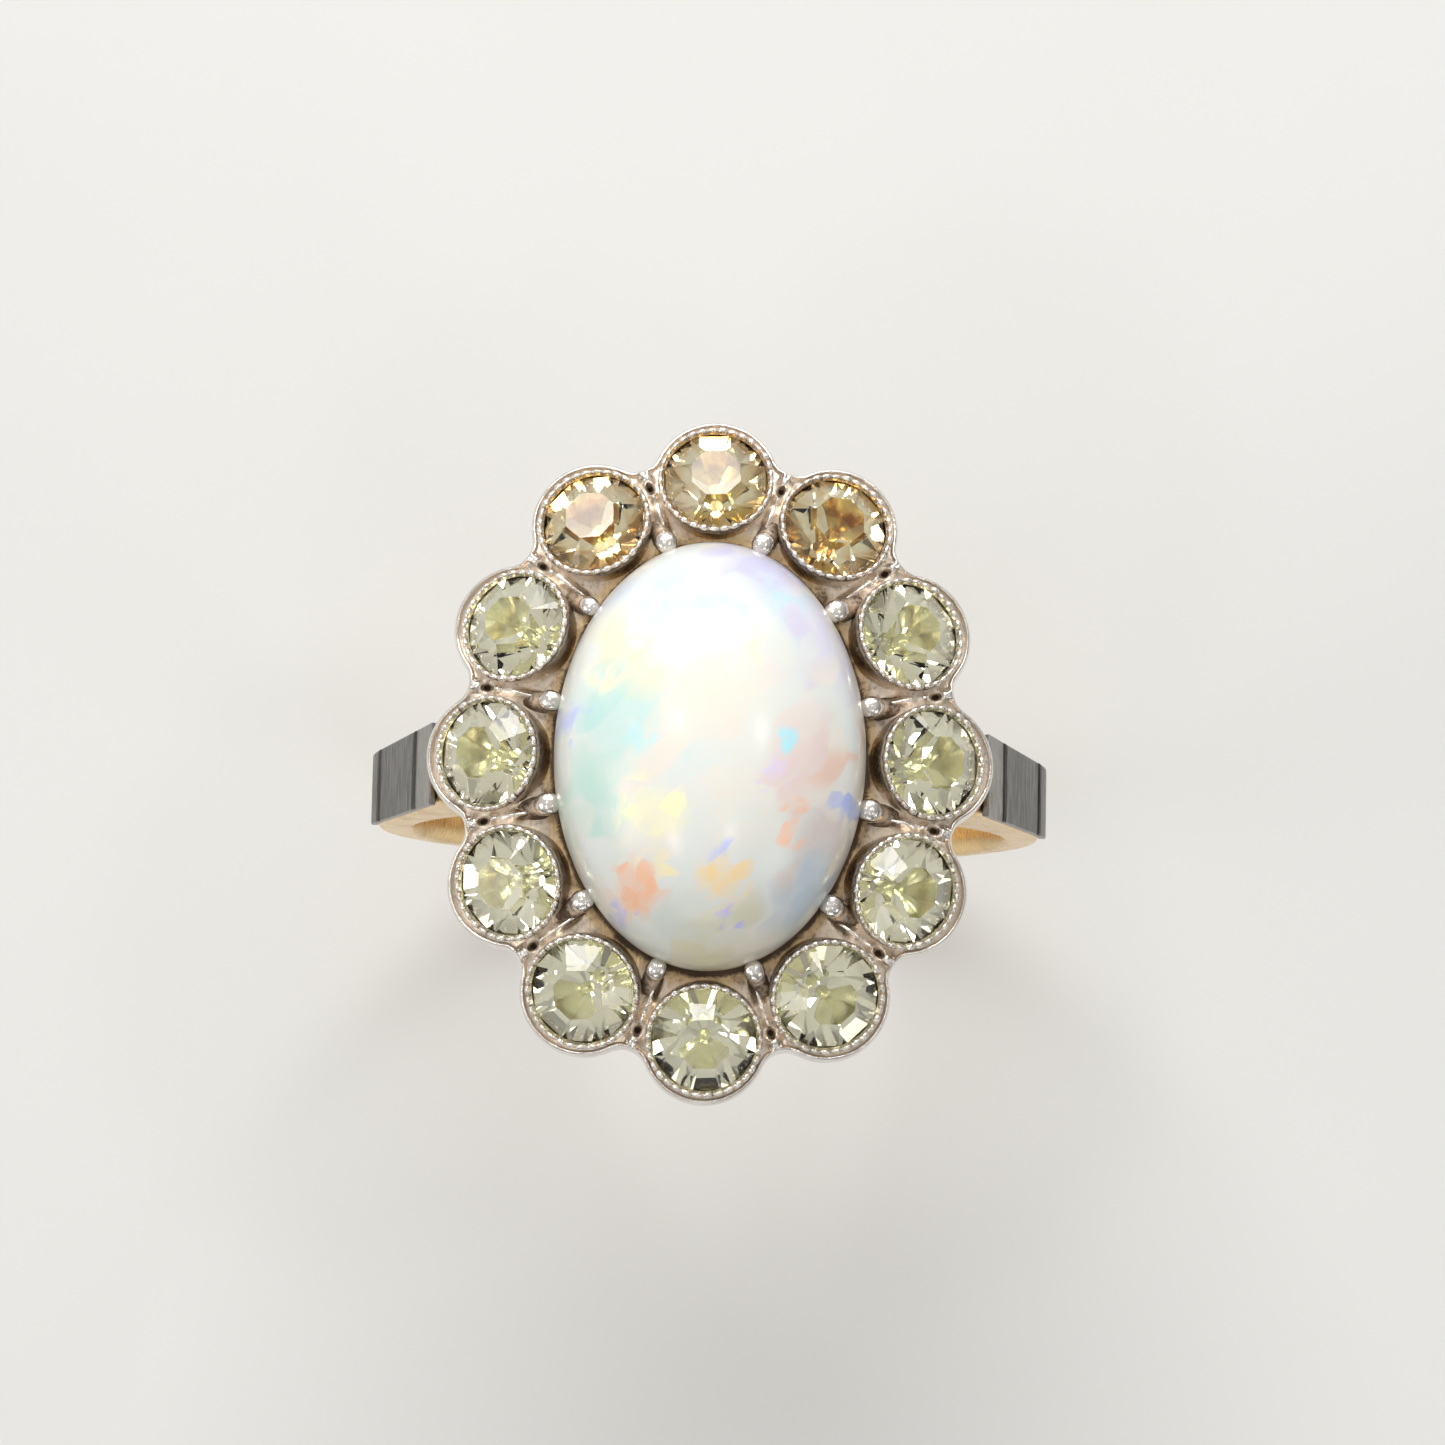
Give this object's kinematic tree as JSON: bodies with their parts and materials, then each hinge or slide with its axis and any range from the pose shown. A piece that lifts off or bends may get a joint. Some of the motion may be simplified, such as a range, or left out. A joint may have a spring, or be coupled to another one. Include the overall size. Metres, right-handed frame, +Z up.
{
  "type": "cocktail ring",
  "caption": "Finger ring with a domed oval opal in a scalloped halo of round foil-backed paste stones, silver-topped head and gold shank.",
  "frame": {"origin": "centre of the finger hole", "axes": "+Y along the finger and along the opal's length, +Z up through the middle of the opal, +X across the shoulders"},
  "size_m": [0.0204, 0.0194, 0.0263],
  "materials": {
    "gold": "satin",
    "silver": "worn polish",
    "opal": "polished",
    "paste": "polished",
    "foil": "polished"
  },
  "bodies": {
    "root": {"shank": "gold", "shoulder_facing_left": "silver", "shoulder_facing_right": "silver", "gold_back": "gold", "scalloped_frame": "silver", "opal_seat": "gold", "opal": "opal", "bead_claws": "silver", "collet_01": "silver", "foil_01": "foil", "stone_01": "paste", "collet_02": "silver", "foil_02": "foil", "stone_02": "paste", "collet_03": "silver", "foil_03": "foil", "stone_03": "paste", "collet_04": "silver", "foil_04": "foil", "stone_04": "paste", "collet_05": "silver", "foil_05": "foil", "stone_05": "paste", "collet_06": "silver", "foil_06": "foil", "stone_06": "paste", "collet_07": "silver", "foil_07": "foil", "stone_07": "paste", "collet_08": "silver", "foil_08": "foil", "stone_08": "paste", "collet_09": "silver", "foil_09": "foil", "stone_09": "paste", "collet_10": "silver", "foil_10": "foil", "stone_10": "paste", "collet_11": "silver", "foil_11": "foil", "stone_11": "paste", "collet_12": "silver", "foil_12": "foil", "stone_12": "paste"}
  },
  "joints": []
}
